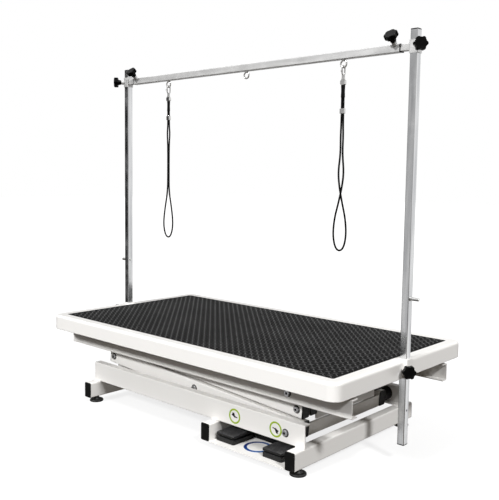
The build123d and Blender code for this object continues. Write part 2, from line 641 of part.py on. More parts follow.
def snap_hook(x):
    r = hook_in + hook_wire
    top_arc = Pos(x, 0, link_top - r) * Rot(0, 90, 0) * Torus(r, hook_wire)
    low_arc = Pos(x, 0, link_low + r) * Rot(0, 90, 0) * Torus(r, hook_wire)
    top_arc = top_arc - box(x - 5, x + 5, -20, 20, link_top - 30, link_top - r)
    low_arc = low_arc - box(x - 5, x + 5, -20, 20, link_low + r, link_low + 30)
    link = top_arc + low_arc
    for s in (-1, 1):
        link = link + cyl_z(x, s * r, hook_wire, link_low + r, link_top - r)
    barrel = cyl_z(x, 0, 4.5, collar_z, link_low + 1.0)
    barrel = barrel + cyl_z(x, 0, 5.6, collar_z, collar_z + 3.0)
    gate = cyl_z(x, -r, 2.9, link_low + r + 1.0, link_low + r + 7.0)
    stud = Pos(x, -r - 3.6, link_low + r + 4.0) * Rot(90, 0, 0) * Cylinder(1.6, 3.4)
    neck = cyl_z(x, 0, 2.0, collar_z - 3.0, collar_z + 0.5)
    foot = cyl_z(x, 0, 3.4, collar_z - 5.4, collar_z - 3.0)
    return link + barrel + gate + stud + neck + foot


def loop_metal(x, slide_z0, slide_z1):
    """Swivel eye under the hook and the slider round both strands."""
    eye_z1 = collar_z - 0.4
    eye = Pos(x, 0, (eye_z1 + eye_z1 - 13.0) / 2) * Box(15.0, 9.0, 13.0)
    eye = fillet(eye.edges().filter_by(Axis.Y), 3.0)
    eye = eye - cyl_z(x, 0, 2.0 + fit_run, eye_z1 - 3.2, eye_z1 + 1)
    eye = eye - cyl_z(x, 0, 3.8, eye_z1 - 6.0, eye_z1 - 2.3)
    slide = Pos(x, 0, (slide_z0 + slide_z1) / 2) * Box(15.6, 9.6, slide_z1 - slide_z0)
    slide = fillet(slide.edges().filter_by(Axis.Z), 2.5)
    slide = fillet(slide.edges().group_by(Axis.Z)[0] + slide.edges().group_by(Axis.Z)[-1], 1.0)
    for s in (-1, 1):
        slide = slide - cyl_z(x + s * strand, 0, cord_d / 2 + 0.15, slide_z0 - 1, slide_z1 + 1)
    return [eye, slide]


strand = cord_d / 2 + 0.5                      # each strand beside the middle of a doubled run
eye_bottom = collar_z - 0.4 - 13.0

# points of each loop as (across, towards the back, height)
loop_left = [
    (-strand, 0, eye_bottom), (-strand, 0, 950), (-7.0, 0.3, 918), (-strand - 0.1, 0, 880), (-strand, 0.2, 790),
    (-strand - 0.3, 0, 716), (-14.0, 0.2, 660), (-21.5, 0, 602), (-14.0, 0.1, 563), (0.0, 0, 550.7),
    (14.0, 0.1, 563), (21.5, 0, 602), (14.0, 0.2, 660), (strand + 0.3, 0, 716), (strand, 0.2, 790),
    (strand + 0.1, 0, 880), (7.0, 0.3, 918), (strand, 0, 950), (strand, 0, eye_bottom)]
loop_right = [
    (-strand, 0, eye_bottom), (-strand, 0, 930), (-4.5, 0.2, 886), (-strand - 0.1, 0, 838), (-7.4, 1.2, 786),
    (-4.2, 3.0, 742), (4.5, 3.3, 698), (15.0, 1.6, 655), (19.6, 0, 608), (13.0, 0.1, 572), (0.0, 0, 560.7),
    (-13.0, 0.1, 572), (-19.6, 0, 608), (-15.0, -1.6, 655), (-4.5, -3.3, 698), (4.2, -3.0, 742),
    (7.4, -1.2, 786), (strand + 0.1, 0, 838), (4.5, 0.2, 886), (strand, 0, 930), (strand, 0, eye_bottom)]


def cord(points, x, d):
    pts = [Vector(x + p[0], p[1], p[2]) for p in points]
    radii = []
    for a, b, c in zip(pts, pts[1:], pts[2:]):
        turn = (b - a).get_angle(c - b)
        run = min((b - a).length, (c - b).length)
        radii.append(0.45 * run / tan(radians(max(turn, 0.05) / 2)))
    edges = []
    last = pts[0]
    for i, r in enumerate(radii):
        a, b, c = pts[i], pts[i + 1], pts[i + 2]
        run = min((b - a).length, (c - b).length)
        t1 = b + (a - b).normalized() * (0.45 * run)
        t2 = b + (c - b).normalized() * (0.45 * run)
        edges.append(Line(last, t1))
        edges.append(TangentArc(t1, t2, tangent=(b - a).normalized()))
        last = t2
    edges.append(Line(last, pts[-1]))
    route = Wire([e.edge() for e in edges])
    start = Plane(origin=pts[0], z_dir=(pts[1] - pts[0]))
    body = sweep(start * Circle(d / 2), path=route)
    print("cord route", round(route.length, 1), "mm, smallest bend", round(min(radii), 1),
          "volume ratio", round(body.volume / (pi * d * d / 4 * route.length), 4))
    return body


for side, hook_x, route, z0, z1 in (("left", -ring_x, loop_left, 965, 979),
                                    ("right", ring_x, loop_right, 951, 965)):
    save(snap_hook(hook_x), "snap_hook_" + side)
    save(group(loop_metal(hook_x, z0, z1)), "loop_metal_" + side)
    save(cord(route, hook_x, cord_d), "loop_cord_" + side)

print("rest angle", round(rest_angle, 3), "left pivots", round(left_x, 2), "mid x", round(mid_x, 2),
      "lift turn", round(top_angle - rest_angle, 3), "top height",
      round(table_height + 2 * (arm_span * sin(radians(top_angle)) - stage_rise), 1))
print("ring_z", ring_z, "wire_z", wire_z, "collar_z", collar_z, "hinge", hinge_y, hinge_z)
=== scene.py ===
import json
import math

import bpy
from mathutils import Matrix, Vector


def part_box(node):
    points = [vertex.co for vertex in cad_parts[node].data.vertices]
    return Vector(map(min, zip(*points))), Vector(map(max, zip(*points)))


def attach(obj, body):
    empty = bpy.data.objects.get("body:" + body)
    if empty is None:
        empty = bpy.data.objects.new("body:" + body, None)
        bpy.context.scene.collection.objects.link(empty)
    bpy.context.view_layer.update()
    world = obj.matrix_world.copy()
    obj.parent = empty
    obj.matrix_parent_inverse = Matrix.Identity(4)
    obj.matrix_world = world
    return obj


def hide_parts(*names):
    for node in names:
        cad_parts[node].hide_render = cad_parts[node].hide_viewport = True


# Electric dog grooming table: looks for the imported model. Metres, the same frame as the CAD.
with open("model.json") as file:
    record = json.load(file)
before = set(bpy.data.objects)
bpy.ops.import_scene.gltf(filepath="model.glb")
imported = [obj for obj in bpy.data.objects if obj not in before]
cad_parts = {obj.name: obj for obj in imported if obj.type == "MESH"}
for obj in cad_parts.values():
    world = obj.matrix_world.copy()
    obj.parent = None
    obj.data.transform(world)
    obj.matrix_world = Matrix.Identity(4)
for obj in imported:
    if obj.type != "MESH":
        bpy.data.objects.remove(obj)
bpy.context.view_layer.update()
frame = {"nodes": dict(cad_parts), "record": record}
scene = bpy.context.scene

# ---------------------------------------------------------------- camera
EYE = Vector((1.5411, -1.6757, 0.7681))
YAW, PITCH, ROLL = -0.7363083, -0.0918782, 0.0137249
FOCAL_MM, DROP = 51.2, -0.0138

forward = Vector((math.sin(YAW) * math.cos(PITCH), math.cos(YAW) * math.cos(PITCH), math.sin(PITCH)))
level = Vector((math.cos(YAW), -math.sin(YAW), 0.0))
upright = level.cross(forward)
across = math.cos(ROLL) * level + math.sin(ROLL) * upright
upright = math.cos(ROLL) * upright - math.sin(ROLL) * level
camera = bpy.data.objects.new("camera", bpy.data.cameras.new("camera"))
scene.collection.objects.link(camera)
camera.matrix_world = Matrix((
    (across.x, upright.x, -forward.x, EYE.x),
    (across.y, upright.y, -forward.y, EYE.y),
    (across.z, upright.z, -forward.z, EYE.z),
    (0, 0, 0, 1)))
camera.data.sensor_width = 36
camera.data.lens = FOCAL_MM
camera.data.shift_y = DROP
camera.data.clip_start, camera.data.clip_end = 0.05, 60
scene.camera = camera
scene.view_settings.view_transform = "Standard"

# ---------------------------------------------------------------- sizes shared by the new pieces
CORD_D = 0.0054
STRAND = 0.0029
RING_X = 0.369
EYE_BOTTOM = 1.03085
MAT_TOP = 0.2865
BEAM_FACE = 0.254
CROSS_TOP = 0.069
CROSS_X = (-0.4395, 0.1285, 0.4395)
LABEL_X, LABEL_Z = (0.205, 0.356), 0.098


# ---------------------------------------------------------------- node helpers
class Finish:
    """A material being put together: one Principled shader and the nodes that feed it."""

    def __init__(self, name):
        self.material = bpy.data.materials.new(name)
        self.material.use_nodes = True
        tree = self.material.node_tree
        self.nodes, self.links = tree.nodes, tree.links
        self.shader = self.nodes["Principled BSDF"]
        self.place = self.nodes.new("ShaderNodeTexCoord").outputs["Object"]

    def set(self, **values):
        for key, value in values.items():
            self.shader.inputs[key.replace("_", " ")].default_value = value

    def stretched(self, scale, turn=(0, 0, 0)):
        mapping = self.nodes.new("ShaderNodeMapping")
        mapping.inputs["Scale"].default_value = scale
        mapping.inputs["Rotation"].default_value = turn
        self.links.new(self.place, mapping.inputs["Vector"])
        return mapping.outputs["Vector"]

    def noise(self, scale, detail=3.0, place=None, distortion=0.0):
        node = self.nodes.new("ShaderNodeTexNoise")
        node.inputs["Scale"].default_value = scale
        node.inputs["Detail"].default_value = detail
        node.inputs["Distortion"].default_value = distortion
        self.links.new(place or self.place, node.inputs["Vector"])
        return node.outputs["Fac"]

    def waves(self, scale, place=None, direction="Z", distortion=0.0):
        node = self.nodes.new("ShaderNodeTexWave")
        node.bands_direction = direction
        node.inputs["Scale"].default_value = scale
        node.inputs["Distortion"].default_value = distortion
        self.links.new(place or self.place, node.inputs["Vector"])
        return node.outputs["Fac"]

    def cells(self, scale):
        node = self.nodes.new("ShaderNodeTexVoronoi")
        node.inputs["Scale"].default_value = scale
        self.links.new(self.place, node.inputs["Vector"])
        return node.outputs["Distance"]

    def remap(self, value, low, high, out_low, out_high):
        node = self.nodes.new("ShaderNodeMapRange")
        for key, number in (("From Min", low), ("From Max", high), ("To Min", out_low), ("To Max", out_high)):
            node.inputs[key].default_value = number
        self.links.new(value, node.inputs["Value"])
        return node.outputs["Result"]

    def math(self, operation, a, b=None):
        node = self.nodes.new("ShaderNodeMath")
        node.operation = operation
        for k, source in enumerate((a, b)):
            if source is None:
                continue
            if isinstance(source, (int, float)):
                node.inputs[k].default_value = source
            else:
                self.links.new(source, node.inputs[k])
        return node.outputs[0]

    def blend(self, share, first, second):
        node = self.nodes.new("ShaderNodeMix")
        node.data_type = "RGBA"
        self.links.new(share, node.inputs["Factor"])
        for key, source in ((6, first), (7, second)):
            if isinstance(source, tuple):
                node.inputs[key].default_value = (*source, 1.0)
            else:
                self.links.new(source, node.inputs[key])
        return node.outputs[2]

    def split(self):
        node = self.nodes.new("ShaderNodeSeparateXYZ")
        self.links.new(self.place, node.inputs[0])
        return node.outputs["X"], node.outputs["Y"], node.outputs["Z"]

    def colour(self, source):
        self.links.new(source, self.shader.inputs["Base Color"])

    def gloss(self, source):
        self.links.new(source, self.shader.inputs["Roughness"])

    def relief(self, *layers):
        """Each layer is a height and its depth in metres."""
        last = None
        for height, depth in layers:
            node = self.nodes.new("ShaderNodeBump")
            node.inputs["Distance"].default_value = depth
            node.inputs["Strength"].default_value = 1.0
            self.links.new(height, node.inputs["Height"])
            if last is not None:
                self.links.new(last, node.inputs["Normal"])
            last = node.outputs["Normal"]
        self.links.new(last, self.shader.inputs["Normal"])


def powder_coat(name, tone, dust, rough):
    coat = Finish(name)
    drift = coat.remap(coat.noise(5.0, 3.0), 0.3, 0.8, 0.0, 1.0)
    coat.colour(coat.blend(drift, tone, dust))
    coat.gloss(coat.remap(coat.noise(60.0, 4.0), 0.3, 0.7, rough - 0.03, rough + 0.05))
    coat.relief((coat.noise(480.0, 2.0), 0.00003), (coat.noise(30.0, 2.0), 0.00003))
    coat.set(Coat_Weight=0.15, Coat_Roughness=0.2)
    return coat.material


def moulded_black(name, tone, worn, rough, grain=1500.0, depth=0.00005, shine=0.3):
    black = Finish(name)
    wear = black.remap(black.noise(55.0, 5.0), 0.52, 0.72, 0.0, 1.0)
    black.colour(black.blend(wear, tone, worn))
    black.gloss(black.remap(black.noise(130.0, 3.0), 0.3, 0.7, rough - 0.06, rough + 0.1))
    black.relief((black.noise(grain, 2.0), depth))
    black.set(Specular_IOR_Level=shine)
    return black.material


def plated(name, tone, shade, rough, along=(90.0, 90.0, 6.0), metallic=1.0):
    metal = Finish(name)
    streak = metal.noise(1.0, 5.0, metal.stretched(along))
    metal.colour(metal.blend(metal.remap(streak, 0.35, 0.68, 0.0, 1.0), tone, shade))
    metal.gloss(metal.remap(metal.noise(30.0, 6.0), 0.3, 0.7, rough - 0.04, rough + 0.12))
    fine = metal.noise(1.0, 3.0, metal.stretched(tuple(v * 9 for v in along)))
    metal.relief((fine, 0.000008), (metal.noise(14.0, 2.0), 0.00015))
    metal.set(Metallic=metallic)
    return metal.material


WHITE = powder_coat("white_powder_coat", (0.86, 0.85, 0.83), (0.835, 0.82, 0.795), 0.32)
# Black plastic of the end plugs; it also colours the black strip behind the pedals, which is painted shade.
PLUG_BLACK_AND_PAINTED_SHADE = moulded_black("black_end_plug_and_shade_strip", (0.003, 0.003, 0.003), (0.010, 0.010, 0.010), 0.4, shine=0.15)
KNOB = moulded_black("black_knob", (0.002, 0.002, 0.002), (0.006, 0.006, 0.006), 0.28, 2200.0, 0.00003, 0.08)
CHROME = plated("bright_plated_tube", (0.80, 0.805, 0.81), (0.58, 0.585, 0.6), 0.16)
CHROME_BAR = plated("bright_plated_bar", (0.74, 0.74, 0.735), (0.64, 0.64, 0.64), 0.34, (6.0, 90.0, 90.0), 0.5)
FITTING = plated("plated_fitting", (0.80, 0.79, 0.77), (0.6, 0.6, 0.6), 0.16, (240.0, 240.0, 240.0))
ZINC = plated("zinc_plated_bolt", (0.62, 0.62, 0.63), (0.32, 0.32, 0.33), 0.22, (300.0, 300.0, 300.0))
INK = moulded_black("black_printing_ink", (0.004, 0.004, 0.006), (0.012, 0.012, 0.014), 0.4, shine=0.2)
# Dark steel for the washers; the same dark colour lines the bolt sockets as painted shade.
WASHER_DARK_AND_SOCKET_SHADE = moulded_black("dark_washer_and_socket_shade", (0.006, 0.006, 0.006), (0.03, 0.03, 0.03), 0.35)


def gel_coat():
    rim = Finish("white_gel_coat_rim")
    drift = rim.remap(rim.noise(3.0, 3.0), 0.3, 0.8, 0.0, 1.0)
    rim.colour(rim.blend(drift, (0.88, 0.868, 0.848), (0.874, 0.861, 0.838)))
    rim.gloss(rim.remap(rim.noise(25.0, 3.0), 0.3, 0.7, 0.28, 0.31))
    rim.relief((rim.noise(220.0, 2.0), 0.00002))
    rim.set(Coat_Weight=0.4, Coat_Roughness=0.12)
    return rim.material


def mat_rubber(name, tone, worn, rough, shine):
    rubber = Finish(name)
    dust = rubber.remap(rubber.noise(9.0, 6.0), 0.42, 0.78, 0.0, 1.0)
    rubber.colour(rubber.blend(dust, tone, worn))
    rubber.gloss(rubber.remap(rubber.noise(70.0, 4.0), 0.3, 0.7, rough - 0.08, rough + 0.08))
    rubber.relief((rubber.noise(900.0, 3.0), 0.00008))
    rubber.set(Specular_IOR_Level=shine)
    return rubber.material


def foot_rubber():
    rubber = Finish("black_foot_rubber")
    dust = rubber.remap(rubber.noise(60.0, 5.0), 0.45, 0.75, 0.0, 1.0)
    rubber.colour(rubber.blend(dust, (0.004, 0.004, 0.004), (0.016, 0.016, 0.015)))
    rubber.gloss(rubber.remap(rubber.noise(200.0, 3.0), 0.3, 0.7, 0.5, 0.7))
    rubber.relief((rubber.cells(700.0), 0.00015))
    return rubber.material


def pedal_plastic():
    pedal = Finish("black_pedal_plastic")
    tread_low, tread_top = 0.0445, 0.0456
    top = pedal.remap(pedal.split()[2], tread_low, tread_top, 0.0, 1.0)
    scuff = pedal.math("MULTIPLY", top, pedal.remap(pedal.noise(40.0, 6.0), 0.3, 0.7, 0.35, 1.0))
    pedal.colour(pedal.blend(scuff, (0.004, 0.004, 0.004), (0.060, 0.060, 0.062)))
    pedal.set(Specular_IOR_Level=0.35)
    pedal.gloss(pedal.remap(pedal.noise(160.0, 4.0), 0.3, 0.7, 0.32, 0.5))
    pedal.relief((pedal.noise(1300.0, 2.0), 0.00006))
    return pedal.material


def drive_paint():
    paint = Finish("black_drive_paint")
    grime = paint.remap(paint.noise(25.0, 6.0), 0.45, 0.75, 0.0, 1.0)
    paint.colour(paint.blend(grime, (0.014, 0.014, 0.015), (0.045, 0.042, 0.04)))
    paint.gloss(paint.remap(paint.noise(90.0, 4.0), 0.3, 0.7, 0.4, 0.6))
    paint.relief((paint.noise(500.0, 3.0), 0.00025))
    return paint.material


def brushed_tube():
    tube = Finish("brushed_aluminium_tube")
    lines = tube.noise(1.0, 4.0, tube.stretched((30.0, 1400.0, 1400.0)))
    tube.colour(tube.blend(lines, (0.66, 0.66, 0.67), (0.46, 0.46, 0.47)))
    tube.gloss(tube.remap(lines, 0.3, 0.7, 0.28, 0.46))
    tube.relief((lines, 0.00004))
    tube.set(Metallic=1.0)
    return tube.material


def nylon():
    wheel = Finish("turned_nylon")
    rings = wheel.waves(260.0, direction="Y", distortion=1.0)
    wheel.colour(wheel.blend(rings, (0.62, 0.61, 0.57), (0.5, 0.49, 0.46)))
    wheel.gloss(wheel.remap(wheel.noise(80.0), 0.3, 0.7, 0.38, 0.5))
    wheel.relief((rings, 0.00005))
    wheel.set(Subsurface_Weight=0.1)
    return wheel.material


def plywood():
    wood = Finish("plywood_board")
    ply_waves = 1571.0
    height = wood.split()[2]
    plies = wood.math("GREATER_THAN", wood.math("SINE", wood.math("MULTIPLY", height, ply_waves)), 0.0)
    grain = wood.noise(1.0, 6.0, wood.stretched((9.0, 110.0, 300.0)), 1.2)
    face = wood.blend(grain, (0.46, 0.33, 0.2), (0.3, 0.2, 0.115))
    wood.colour(wood.blend(wood.math("MULTIPLY", plies, 0.35), face, (0.2, 0.13, 0.08)))
    wood.gloss(wood.remap(grain, 0.3, 0.7, 0.5, 0.72))
    wood.relief((grain, 0.0002))
    return wood.material


def braided_cord():
    braid = Finish("black_braided_cord")
    one = braid.waves(330.0, braid.stretched((1, 1, 0.45), (0.0, 0.75, 0.0)), "Z")
    two = braid.waves(330.0, braid.stretched((1, 1, 0.45), (0.0, -0.75, 0.0)), "Z")
    weave = braid.math("MAXIMUM", one, two)
    braid.colour(braid.blend(weave, (0.002, 0.002, 0.002), (0.006, 0.006, 0.006)))
    braid.gloss(braid.remap(braid.noise(300.0), 0.3, 0.7, 0.5, 0.68))
    braid.relief((weave, 0.00035))
    braid.set(Specular_IOR_Level=0.05)
    return braid.material


def ring_labels():
    """Printed film: green rings on the front beam, a blue ring on the platform, dark hands inside. The blue
    ring is painted darker towards -X as painted shade.
    """
    film = Finish("printed_ring_labels")
    hand_reach, above_platform = 0.0165, 0.05
    x, _, z = film.split()
    nearest = film.math("MINIMUM", *(film.math("ABSOLUTE", film.math("SUBTRACT", x, middle))
                                     for middle in LABEL_X))
    rise = film.math("SUBTRACT", z, LABEL_Z)
    reach = film.math("SQRT", film.math("ADD", film.math("MULTIPLY", nearest, nearest),
                                        film.math("MULTIPLY", rise, rise)))
    hand = film.math("LESS_THAN", reach, hand_reach)
    on_beam = film.math("GREATER_THAN", z, above_platform)
    print_drift = film.remap(film.noise(90.0, 3.0), 0.35, 0.7, 0.0, 1.0)
    lime = film.blend(print_drift, (0.26, 0.42, 0.006), (0.34, 0.48, 0.015))
    green = film.blend(hand, lime, (0.004, 0.004, 0.006))
    # Painted shade: the blue ring is darker towards -X and lighter towards +X.
    shade = film.remap(x, 0.240, 0.300, 0.0, 1.0)
    blue = film.blend(shade, (0.006, 0.022, 0.14), (0.010, 0.10, 0.34))
    film.colour(film.blend(on_beam, blue, green))
    film.gloss(film.remap(film.noise(220.0), 0.3, 0.7, 0.25, 0.4))
    film.relief((film.noise(700.0), 0.00002))
    return film.material


FINISHES = {
    "table_rim": gel_coat(),
    "rubber_mat": mat_rubber("black_mat_rubber", (0.007, 0.007, 0.007), (0.013, 0.013, 0.013), 0.6, 0.03),
    "levelling_feet": foot_rubber(),
    "drive_tube": brushed_tube(),
    "table_board": plywood(),
    "label_rings": ring_labels(),
    "crossbar": CHROME_BAR,
    "post_sleeves": CHROME_BAR,
    "drive_rod": CHROME_BAR,
}
BY_SLOT = {
    "white_frame": WHITE,
    "black_plug": PLUG_BLACK_AND_PAINTED_SHADE,
    "knob_black": KNOB,
    "chrome_tube": CHROME,
    "bolt_steel": ZINC,
    "pedal_black": pedal_plastic(),
    "drive_black": drive_paint(),
    "roller_nylon": nylon(),
    "cord_black": braided_cord(),
}
for part in frame["record"]["subparts"]:
    node, slot_name = part["node"], part["material_slot"]
    finish = FINISHES.get(node) or BY_SLOT[slot_name]
    if node.startswith(("eye_rings", "snap_hook", "loop_metal", "stop_pin")):
        finish = FITTING
    mesh = frame["nodes"][node].data
    mesh.materials.clear()
    mesh.materials.append(finish)


# ---------------------------------------------------------------- modelling helpers
def deselect():
    if bpy.context.object and bpy.context.object.mode != "OBJECT":
        bpy.ops.object.mode_set(mode="OBJECT")
    bpy.ops.object.select_all(action="DESELECT")


def edit(piece):
    deselect()
    piece.select_set(True)
    bpy.context.view_layer.objects.active = piece
    bpy.ops.object.mode_set(mode="EDIT")
    bpy.ops.mesh.select_all(action="SELECT")


def done():
    bpy.ops.object.mode_set(mode="OBJECT")


def pick_faces(piece, test):
    """Selects the faces whose centre and normal pass the test, in edit mode."""
    bpy.ops.mesh.select_mode(type="FACE")
    bpy.ops.mesh.select_all(action="DESELECT")
    bpy.ops.object.mode_set(mode="OBJECT")
    for face in piece.data.polygons:
        face.select = test(face.center, face.normal)
    bpy.ops.object.mode_set(mode="EDIT")


def pick_edges(piece, test):
    """Selects the edges whose two ends pass the test, in edit mode."""
    bpy.ops.mesh.select_mode(type="EDGE")
    bpy.ops.mesh.select_all(action="DESELECT")
    bpy.ops.object.mode_set(mode="OBJECT")
    points = piece.data.vertices
    for edge in piece.data.edges:
        a, b = (points[i].co for i in edge.vertices)
        edge.select = test(a, b)
    bpy.ops.object.mode_set(mode="EDIT")


def settle(piece):
    """Puts the piece's place into its mesh."""
    deselect()
    piece.select_set(True)
    bpy.context.view_layer.objects.active = piece
    bpy.ops.object.transform_apply(location=True, rotation=True, scale=True)


def apply_all(piece):
    deselect()
    piece.select_set(True)
    bpy.context.view_layer.objects.active = piece
    for modifier in list(piece.modifiers):
        bpy.ops.object.modifier_apply(modifier=modifier.name)


def named(name):
    piece = bpy.context.object
    piece.name = name
    piece.data.name = name
    return piece


def dress(piece, finish, body, smooth=40):
    """Gives the finished piece its material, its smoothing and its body."""
    piece.data.materials.clear()
    piece.data.materials.append(finish)
    deselect()
    piece.select_set(True)
    bpy.context.view_layer.objects.active = piece
    bpy.ops.object.shade_smooth_by_angle(angle=math.radians(smooth))
    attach(piece, body)


def copied(blank, name, place):
    """A copy of the blank with its own mesh, put in place by a matrix."""
    twin = blank.copy()
    twin.data = blank.data.copy()
    twin.name = twin.data.name = name
    scene.collection.objects.link(twin)
    twin.data.transform(place)
    return twin


def at(x, y, z):
    return Matrix.Translation((x, y, z))


def turned(degrees, axis):
    return Matrix.Rotation(math.radians(degrees), 4, axis)


def spread(piece, count, step):
    """Repeats the piece in a straight row."""
    array = piece.modifiers.new("row", "ARRAY")
    array.use_relative_offset = False
    array.use_constant_offset = True
    array.constant_offset_displace = step
    array.count = count


def face_outwards():
    bpy.ops.mesh.select_all(action="SELECT")
    bpy.ops.mesh.normals_make_consistent(inside=False)


def joined(pieces, name):
    deselect()
    for piece in pieces:
        piece.select_set(True)
    bpy.context.view_layer.objects.active = pieces[0]
    bpy.ops.object.join()
    return named(name)


# ---------------------------------------------------------------- grooming loops
LEFT_ROUTE = [
    (-STRAND, 0, EYE_BOTTOM), (-STRAND, 0, 0.950), (-0.0070, 0.0003, 0.918), (-0.0033, 0, 0.880),
    (-STRAND, 0.0002, 0.790), (-0.0035, 0, 0.716), (-0.0168, 0.0002, 0.660), (-0.0258, 0, 0.602),
    (-0.0168, 0.0001, 0.563), (0, 0, 0.5507), (0.0168, 0.0001, 0.563), (0.0258, 0, 0.602),
    (0.0168, 0.0002, 0.660), (0.0035, 0, 0.716), (STRAND, 0.0002, 0.790), (0.0033, 0, 0.880),
    (0.0070, 0.0003, 0.918), (STRAND, 0, 0.950), (STRAND, 0, EYE_BOTTOM)]
RIGHT_ROUTE = [
    (-STRAND, 0, EYE_BOTTOM), (-STRAND, 0, 0.930), (-0.0045, 0.0002, 0.886), (-0.0033, 0, 0.838),
    (-0.0107, 0.0012, 0.786), (-0.0061, 0.0030, 0.742), (0.0045, 0.0033, 0.698), (0.0177, 0.0016, 0.655),
    (0.0231, 0, 0.608), (0.0153, 0.0001, 0.572), (0, 0, 0.5607), (-0.0153, 0.0001, 0.572),
    (-0.0231, 0, 0.608), (-0.0177, -0.0016, 0.655), (-0.0045, -0.0033, 0.698), (0.0061, -0.0030, 0.742),
    (0.0107, -0.0012, 0.786), (0.0033, 0, 0.838), (0.0045, 0.0002, 0.886), (STRAND, 0, 0.930),
    (STRAND, 0, EYE_BOTTOM)]

for side, ring_at, route, real_length in (
        ("left", -RING_X, LEFT_ROUTE, 0.9726),
        ("right", RING_X, RIGHT_ROUTE, 0.954)):
    line = bpy.data.curves.new("grooming_loop_" + side, "CURVE")
    line.dimensions = "3D"
    spline = line.splines.new("NURBS")
    spline.points.add(len(route) - 1)
    for point, (x, y, z) in zip(spline.points, route):
        point.co = (ring_at + x, y, z, 1.0)
    spline.order_u = 3
    spline.use_endpoint_u = True
    spline.resolution_u = 10
    line.bevel_depth = CORD_D / 2
    line.bevel_resolution = 4
    line.use_fill_caps = True
    loop = bpy.data.objects.new("grooming_loop_" + side, line)
    scene.collection.objects.link(loop)
    line.materials.append(BY_SLOT["cord_black"])
    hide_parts("loop_cord_" + side)
    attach(loop, "loop_" + side)

# ---------------------------------------------------------------- raised bars on the mat, a lighter grey than the mat as a painted highlight
BAR_PITCH = 0.0235
BAR_LONG, BAR_WIDE, BAR_HIGH, BAR_SUNK = 0.0150, 0.0046, 0.0011, 0.00005
# The bars are a lighter grey than the mat around them: a painted highlight for the light the raised bars
# catch, with dust patches on top.
BAR_RUBBER_PAINTED_HIGHLIGHT = mat_rubber("mat_raised_bars_painted_highlight", (0.026, 0.026, 0.026), (0.046, 0.046, 0.046), 0.32, 0.5)


def bar_field(name, turn, columns, rows):
    """One low lens-shaped bar, arrayed over the mat."""
    deselect()
    bpy.ops.mesh.primitive_uv_sphere_add(segments=12, ring_count=6, radius=0.5)
    bar = named(name)
    edit(bar)
    bpy.ops.mesh.bisect(plane_co=(0, 0, 0), plane_no=(0, 0, 1), clear_inner=True)
    bpy.ops.mesh.select_all(action="SELECT")
    bpy.ops.transform.resize(value=(BAR_LONG, BAR_WIDE, BAR_HIGH * 2), center_override=(0, 0, 0))
    done()
    bar.rotation_euler.z = math.radians(turn)
    bar.location = (-(columns - 1) * BAR_PITCH / 2, -(rows - 1) * BAR_PITCH / 2, MAT_TOP - BAR_SUNK)
    settle(bar)
    spread(bar, columns, (BAR_PITCH, 0, 0))
    spread(bar, rows, (0, BAR_PITCH, 0))
    apply_all(bar)
    dress(bar, BAR_RUBBER_PAINTED_HIGHLIGHT, "table", smooth=60)


bar_field("mat_bars_one_way", 45, 47, 24)
bar_field("mat_bars_other_way", -45, 48, 25)

# ---------------------------------------------------------------- washers of the pivot bolts, and dark cups in their hex sockets as painted shade
HEAD_R, HEAD_T, WASHER_R, WASHER_T = 0.009, 0.006, 0.0110, 0.0012
SOCKET_R, SOCKET_DEEP, SOCKET_WALL = 0.0039, 0.0033, 0.0003
HAIR = 0.0001
BOLTS = (
    ("base", "base", ((0.390, 0.254, 0.097),)),
    ("table", "table", ((0.390, 0.248, 0.204),)),
    ("lower_arms", "outer_arms_low", ((-0.0091, 0.208, 0.12375), (-0.40821, 0.208, 0.1505))),
    ("upper_arms", "outer_arms_up", ((-0.0091, 0.208, 0.17725), (0.390, 0.208, 0.1505))),
)


def washer_blank():
    """A flat ring with its axis along Z and its face on Z = 0."""
    deselect()
    bpy.ops.mesh.primitive_cylinder_add(vertices=40, radius=WASHER_R, depth=WASHER_T,
                                        location=(0, 0, WASHER_T / 2))
    ring = named("washer_blank")
    settle(ring)
    edit(ring)
    pick_faces(ring, lambda c, n: abs(n.z) > 0.5)
    bpy.ops.mesh.inset(thickness=WASHER_R - HEAD_R - HAIR, use_individual=True)
    bpy.ops.mesh.bridge_edge_loops()
    pick_edges(ring, lambda p, q: min(p.z, q.z) > WASHER_T * 0.9 and p.xy.length > HEAD_R * 1.1)
    bpy.ops.mesh.bevel(offset=0.0004, segments=2)
    face_outwards()
    done()
    return ring


def socket_shade_blank():
    """A six-sided dark cup that lines the bolt's socket, open towards +Z, its rim near Z = HEAD_T: painted
    shade in the socket's hollow.
    """
    deselect()
    bpy.ops.mesh.primitive_cylinder_add(vertices=6, radius=SOCKET_R, depth=SOCKET_DEEP,
                                        location=(0, 0, HEAD_T - SOCKET_DEEP / 2 - HAIR))
    cup = named("socket_shade_blank")
    settle(cup)
    edit(cup)
    pick_faces(cup, lambda c, n: n.z > 0.5)
    bpy.ops.mesh.inset(thickness=SOCKET_WALL)
    bpy.ops.mesh.extrude_region_move(TRANSFORM_OT_translate={"value": (0, 0, SOCKET_WALL - SOCKET_DEEP)})
    face_outwards()
    done()
    return cup


# The cups in the sockets are dark: painted shade in the hollow of each bolt head.
washer, socket = washer_blank(), socket_shade_blank()
for label, body, places in BOLTS:
    for blank, title in ((washer, "washers_"), (socket, "socket_shade_cups_")):
        made = [copied(blank, "%s%d%d" % (title, k, side), at(x, side * y, z) @ turned(-90 * side, "X"))
                for k, (x, y, z) in enumerate(places) for side in (-1, 1)]
        dress(joined(made, title + label), WASHER_DARK_AND_SOCKET_SHADE, body)

# ---------------------------------------------------------------- black trim on the crossbar's open ends
TRIM_OUT, TRIM_T, TRIM_WALL, TRIM_ROUND = 0.0216, 0.0022, 0.0020, 0.002
BAR_END, BAR_Z = 0.551, 1.1115


